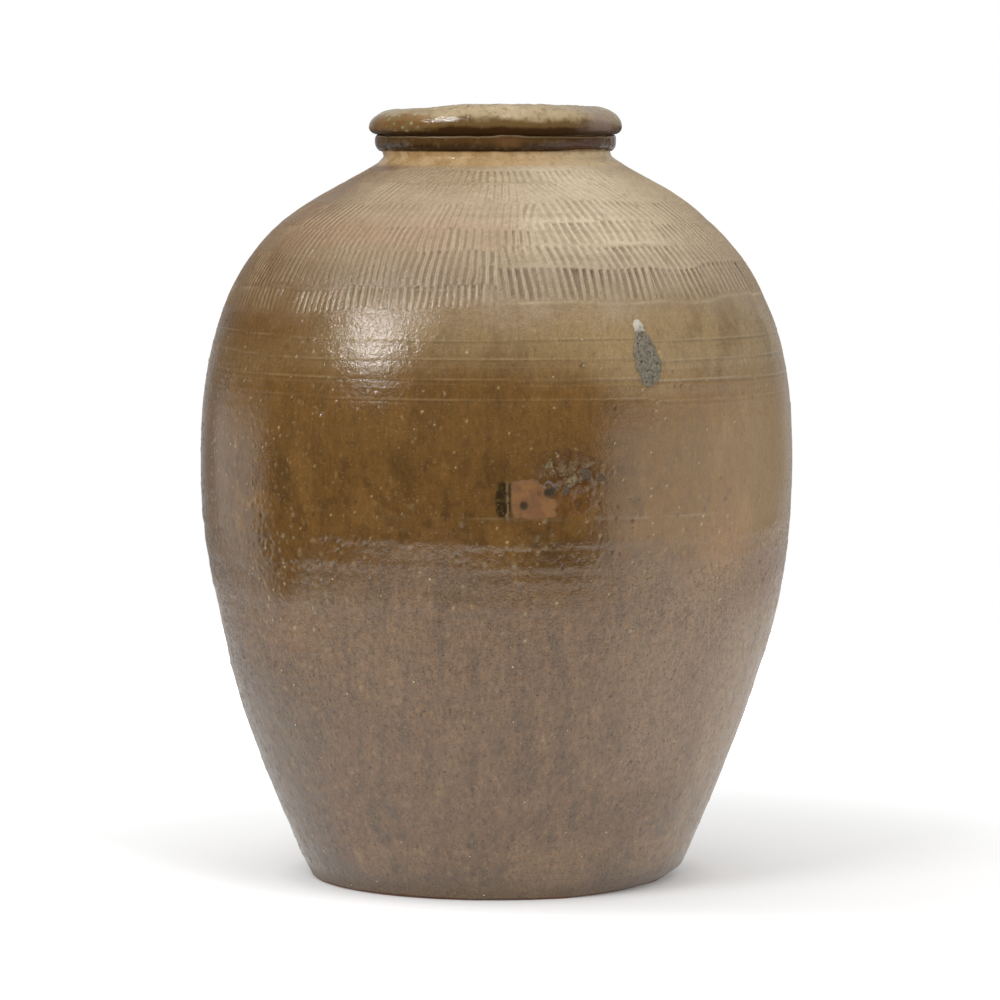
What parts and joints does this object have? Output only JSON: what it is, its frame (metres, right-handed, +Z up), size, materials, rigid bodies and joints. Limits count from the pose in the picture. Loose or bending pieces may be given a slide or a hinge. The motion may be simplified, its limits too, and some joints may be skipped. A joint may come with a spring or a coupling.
{
  "type": "storage jar",
  "caption": "Large glazed stoneware storage jar with a flat foot, full belly, incised shoulder rings, short corded neck, thick rolled rim and open mouth.",
  "frame": {"origin": "centre of the flat foot, on the floor", "axes": "+Z up along the jar's axis towards the mouth, -Y towards the front where the bare scar is, +X to the right seen from the front"},
  "size_m": [0.492, 0.4918, 0.64],
  "materials": {
    "bare_clay": "matte",
    "brown_glaze": "gloss",
    "dark_slag": "rough",
    "pale_crust": "rough"
  },
  "bodies": {
    "root": {"base_slab": "bare_clay", "corner_coil": "bare_clay", "lower_wall": "bare_clay", "lower_seam_coil": "bare_clay", "belly_wall": "bare_clay", "upper_seam_coil": "bare_clay", "shoulder_dome": "bare_clay", "neck_collar": "bare_clay", "neck_cordon": "bare_clay", "rim_roll": "bare_clay", "glaze_coat": "brown_glaze", "slag_drip": "dark_slag", "scar_crust": "pale_crust"}
  },
  "joints": []
}
